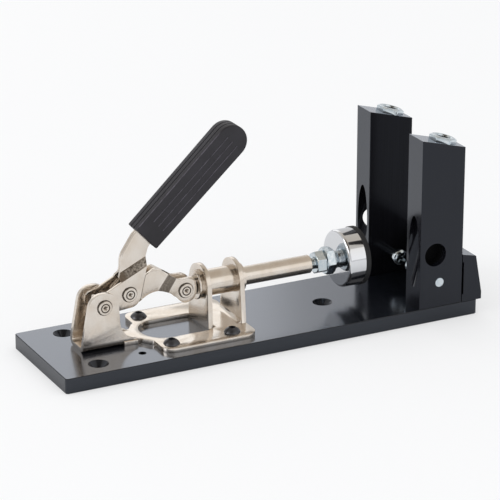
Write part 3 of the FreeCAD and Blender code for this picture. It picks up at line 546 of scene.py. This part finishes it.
def threaded_bar(root, crest, pitch, start, end):
    """A bar along Z with a helical thread ridge that starts and stops inside its ends."""
    bar = primitive("cylinder", vertices=48, radius=root, depth=end - start, location=(0, 0, (start + end) / 2))
    bpy.ops.object.transform_apply(location=True)
    ridge = primitive("circle", vertices=4, radius=pitch * 0.5, location=(root, 0, start + pitch * 0.5),
                      rotation=(math.pi / 2, 0, 0))
    bpy.ops.object.transform_apply(location=True, rotation=True)
    bpy.ops.object.mode_set(mode="EDIT")
    bpy.ops.mesh.select_all(action="SELECT")
    bpy.ops.transform.resize(value=((crest - root) / (pitch * 0.5), 1, 1), center_override=(root, 0, 0))
    bpy.ops.object.mode_set(mode="OBJECT")
    turns = int((end - start - pitch) / pitch)
    apply_modifier(ridge, "SCREW", {"axis": "Z", "screw_offset": pitch, "iterations": turns, "steps": 36,
                                    "render_steps": 36, "use_merge_vertices": False})
    bpy.ops.object.mode_set(mode="EDIT")
    bpy.ops.mesh.select_all(action="DESELECT")
    bpy.ops.mesh.select_mode(type="EDGE")
    bpy.ops.mesh.select_non_manifold()
    bpy.ops.mesh.fill_holes(sides=8)
    bpy.ops.mesh.select_all(action="SELECT")
    bpy.ops.mesh.normals_make_consistent(inside=False)
    bpy.ops.object.mode_set(mode="OBJECT")
    return [bar, ridge]


screw_low, screw_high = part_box("foot_spindle")
screw_axis_z = (screw_low.z + screw_high.z) / 2
hexagon_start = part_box("foot_jam_nut")[1].x
hexagon_end = hexagon_start + 6.0 * MM
hexagon_corner = 16.0 * MM / math.sqrt(3)
stud_parts = threaded_bar(3.45 * MM, 4.0 * MM, 1.25 * MM, screw_low.x, hexagon_start + 0.5 * MM)
neck_parts = threaded_bar(5.3 * MM, 6.0 * MM, 1.6 * MM, hexagon_end - 1.0 * MM, screw_high.x)
hexagon = primitive("cylinder", vertices=6, radius=hexagon_corner, depth=hexagon_end - hexagon_start,
                    location=(0, 0, (hexagon_start + hexagon_end) / 2))
bpy.ops.object.transform_apply(location=True)
blank = primitive("cylinder", vertices=72, radius=hexagon_corner, depth=hexagon_end - hexagon_start,
                  location=(0, 0, (hexagon_start + hexagon_end) / 2))
bpy.ops.object.transform_apply(location=True)
apply_modifier(blank, "BEVEL", {"width": 1.0 * MM, "segments": 1, "limit_method": "ANGLE",
                                "angle_limit": math.radians(60)})
apply_modifier(hexagon, "BOOLEAN", {"operation": "INTERSECT", "object": blank, "solver": "EXACT"})
bpy.data.objects.remove(blank)
foot_screw = join([hexagon] + stud_parts + neck_parts, "foot_screw")
foot_screw.matrix_world = Matrix.Translation((0, 0, screw_axis_z)) @ Matrix.Rotation(math.pi / 2, 4, "Y")
bpy.ops.object.transform_apply(location=True, rotation=True, scale=True)
bpy.ops.object.shade_smooth_by_angle(angle=math.radians(35))
foot_screw.data.materials.clear()
foot_screw.data.materials.append(zinc)
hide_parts("foot_spindle")
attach(foot_screw, "foot")

# ---------------------------------------------------------------------------
# Foot cup: a turned steel cup, polished and chromium plated, almost a mirror
# with a faint haze in patches of 6 mm.

chrome, tree, shader, where = finish_of("polished_chrome_plate", "#DADBDD", {"Metallic": 1.0, "Roughness": 0.07})
haze = add_node(tree, "ShaderNodeTexNoise", {}, {"Vector": where, "Scale": 1 / (6 * MM), "Detail": 2.0})
gloss = add_node(tree, "ShaderNodeMapRange", {},
                 {"Value": haze.outputs[0], "From Min": 0.3, "From Max": 0.7, "To Min": 0.05, "To Max": 0.1})
tree.links.new(gloss.outputs[0], shader.inputs["Roughness"])
wear(["foot_cup"], chrome)

# ---------------------------------------------------------------------------
# Foot pad: moulded black rubber, matt, a little wider than the cup. Its pores
# are finer than 0.1 mm, and are drawn 0.8 mm across so that they show.

rubber, tree, shader, where = finish_of("moulded_black_rubber", "#1D1D1E", {"Roughness": 0.7, "IOR": 1.5})
pores = add_node(tree, "ShaderNodeTexNoise", {}, {"Vector": where, "Scale": 1 / (0.8 * MM), "Detail": 3.0})
relief = add_node(tree, "ShaderNodeBump", {}, {"Height": pores.outputs[0], "Strength": 0.2, "Distance": 0.1 * MM})
tree.links.new(relief.outputs[0], shader.inputs["Normal"])
wear(["foot_pad"], rubber)

# ---------------------------------------------------------------------------
# Screws that hold the clamp, the fence and the blocks: socket screws in black
# oxide, an oiled dark finish whose soft shine changes over 1.5 mm.

oxide, tree, shader, where = finish_of("black_oxide_steel", "#505053", {"Metallic": 0.8, "Roughness": 0.3})
bloom = add_node(tree, "ShaderNodeTexNoise", {}, {"Vector": where, "Scale": 1 / (1.5 * MM), "Detail": 3.0})
gloss = add_node(tree, "ShaderNodeMapRange", {},
                 {"Value": bloom.outputs[0], "From Min": 0.3, "From Max": 0.7, "To Min": 0.26, "To Max": 0.4})
tree.links.new(gloss.outputs[0], shader.inputs["Roughness"])
wear(["bracket_screws", "fence_screws", "near_guide_bolt", "far_guide_bolt", "near_guide_washer", "far_guide_washer"],
     oxide)

# ---------------------------------------------------------------------------
# Handle grip: a sleeve of black vinyl moulded over the two leaves, matt. The
# pores of the mould are drawn 0.7 mm across, coarser than real, so they show.

vinyl, tree, shader, where = finish_of("moulded_black_vinyl", "#222025", {"Roughness": 0.48, "IOR": 1.45})
pores = add_node(tree, "ShaderNodeTexNoise", {}, {"Vector": where, "Scale": 1 / (0.7 * MM), "Detail": 3.0})
cloud = add_node(tree, "ShaderNodeTexNoise", {}, {"Vector": where, "Scale": 1 / (14 * MM), "Detail": 2.0})
tint = add_node(tree, "ShaderNodeValToRGB", {}, {"Fac": cloud.outputs[0]})
ramp_stops(tint, [(0.35, linear("#1D1B20")), (0.65, linear("#26242A"))])
relief = add_node(tree, "ShaderNodeBump", {}, {"Height": pores.outputs[0], "Strength": 0.12, "Distance": 0.08 * MM})
tree.links.new(tint.outputs[0], shader.inputs["Base Color"])
tree.links.new(relief.outputs[0], shader.inputs["Normal"])

# On the ridges the vinyl is drawn pale, in patches of about 4 mm: a painted highlight, where the ridges catch the
# light.
ridge_highlight_vinyl, tree, shader, where = finish_of("vinyl_with_painted_highlight_on_ridges", "#615D66",
                                              {"Roughness": 0.55, "IOR": 1.45})
highlight_spots = add_node(tree, "ShaderNodeTexNoise", {}, {"Vector": where, "Scale": 1 / (4 * MM), "Detail": 3.0})
tint = add_node(tree, "ShaderNodeValToRGB", {}, {"Fac": highlight_spots.outputs[0]})
ramp_stops(tint, [(0.3, linear("#37343A")), (0.7, linear("#58545D"))])
tree.links.new(tint.outputs[0], shader.inputs["Base Color"])


def select_vertices(piece, test):
    """In edit mode, selects the vertices that pass the test."""
    bpy.ops.mesh.select_mode(type="VERT")
    bpy.ops.mesh.select_all(action="DESELECT")
    shape = bmesh.from_edit_mesh(piece.data)
    for vertex in shape.verts:
        vertex.select_set(test(vertex.co))
    shape.select_flush(True)
    bmesh.update_edit_mesh(piece.data)


# The grip is made lying down, with its root at the origin, and is then set on the leaves at its slant.
grip_root = (-74.3 * MM, 0, 76.7 * MM)
grip_angle = math.radians(42.7)
grip_length, grip_width, grip_thickness = 91 * MM, 21 * MM, 13 * MM
taper = 1.0 * MM
grip = primitive("plane", size=1, location=(grip_length / 2, 0, -grip_thickness / 2))
grip.scale = (grip_length, grip_width, 1)
bpy.ops.object.transform_apply(location=True, scale=True)
bpy.ops.object.mode_set(mode="EDIT")
select_vertices(grip, lambda co: co.x > grip_length / 2)
bpy.ops.transform.resize(value=(1, (grip_width + taper) / grip_width, 1), center_override=(0, 0, 0))
select_vertices(grip, lambda co: co.x < grip_length / 2)
bpy.ops.transform.resize(value=(1, (grip_width - taper) / grip_width, 1), center_override=(0, 0, 0))
bpy.ops.mesh.bevel(offset=0.7 * MM, segments=2, affect="VERTICES")
select_vertices(grip, lambda co: co.x > grip_length / 2)
bpy.ops.mesh.bevel(offset=10.9 * MM, segments=16, affect="VERTICES")
# The narrow side has two grooves that run round the tip: each is a step in, a floor and a step out.
bpy.ops.mesh.select_all(action="SELECT")
groove_depth = 0.55 * MM
squeeze = ((grip_length - 2 * groove_depth) / grip_length, (grip_width - 2 * groove_depth) / grip_width, 1)
spread = (1 / squeeze[0], 1 / squeeze[1], 1)
groove = [(0.35, squeeze), (0.5, None), (0.35, spread)]
for rise, change in [(3.9, None)] + groove + [(2.8, None)] + groove + [(3.9, None)]:
    bpy.ops.mesh.extrude_region_move(TRANSFORM_OT_translate={"value": (0, 0, rise * MM)})
    if change:
        bpy.ops.transform.resize(value=change, center_override=(grip_length / 2, 0, 0))
bpy.ops.mesh.select_all(action="SELECT")
bpy.ops.mesh.remove_doubles(threshold=0.001 * MM)
bpy.ops.mesh.normals_make_consistent(inside=False)
bpy.ops.object.mode_set(mode="OBJECT")
apply_modifier(grip, "BEVEL", {"width": 1.6 * MM, "segments": 3, "limit_method": "ANGLE",
                               "angle_limit": math.radians(75)})
grip.data.materials.append(vinyl)

# Three thin ridges run along each broad face, and a bead along one edge of it, all with the painted highlight.
ridge_length, ridge_middle, ridge_spacing = 70 * MM, 46 * MM, 4.6 * MM
bead_length, bead_middle, bead_across, bead_height = 78 * MM, 41 * MM, 9.85 * MM, 5.75 * MM
ridges = []
for row in (-1, 0, 1):
    for face in (-1, 1):
        ridge = primitive("cylinder", vertices=10, radius=0.3 * MM, depth=ridge_length,
                          location=(ridge_middle, row * ridge_spacing, face * grip_thickness / 2),
                          rotation=(0, math.pi / 2, 0))
        bpy.ops.object.transform_apply(location=True, rotation=True)
        apply_modifier(ridge, "BEVEL", {"width": 0.25 * MM, "segments": 2, "limit_method": "ANGLE",
                                        "angle_limit": math.radians(60)})
        ridge.data.materials.append(ridge_highlight_vinyl)
        ridges.append(ridge)
for face in (-1, 1):
    bead = primitive("cylinder", vertices=12, radius=0.6 * MM, depth=bead_length,
                     location=(bead_middle, bead_across, face * bead_height),
                     rotation=(0, math.pi / 2, math.atan2(taper, grip_length)))
    bpy.ops.object.transform_apply(location=True, rotation=True)
    apply_modifier(bead, "BEVEL", {"width": 0.5 * MM, "segments": 2, "limit_method": "ANGLE",
                                   "angle_limit": math.radians(60)})
    bead.data.materials.append(ridge_highlight_vinyl)
    ridges.append(bead)
join([grip] + ridges, "grip_sleeve")
grip.matrix_world = (Matrix.Translation(grip_root) @ Matrix.Rotation(-grip_angle, 4, "Y")
                     @ Matrix.Rotation(math.pi / 2, 4, "X"))
bpy.ops.object.transform_apply(location=True, rotation=True, scale=True)
bpy.ops.object.shade_smooth_by_angle(angle=math.radians(40))
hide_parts("handle_grip")
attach(grip, "handle")
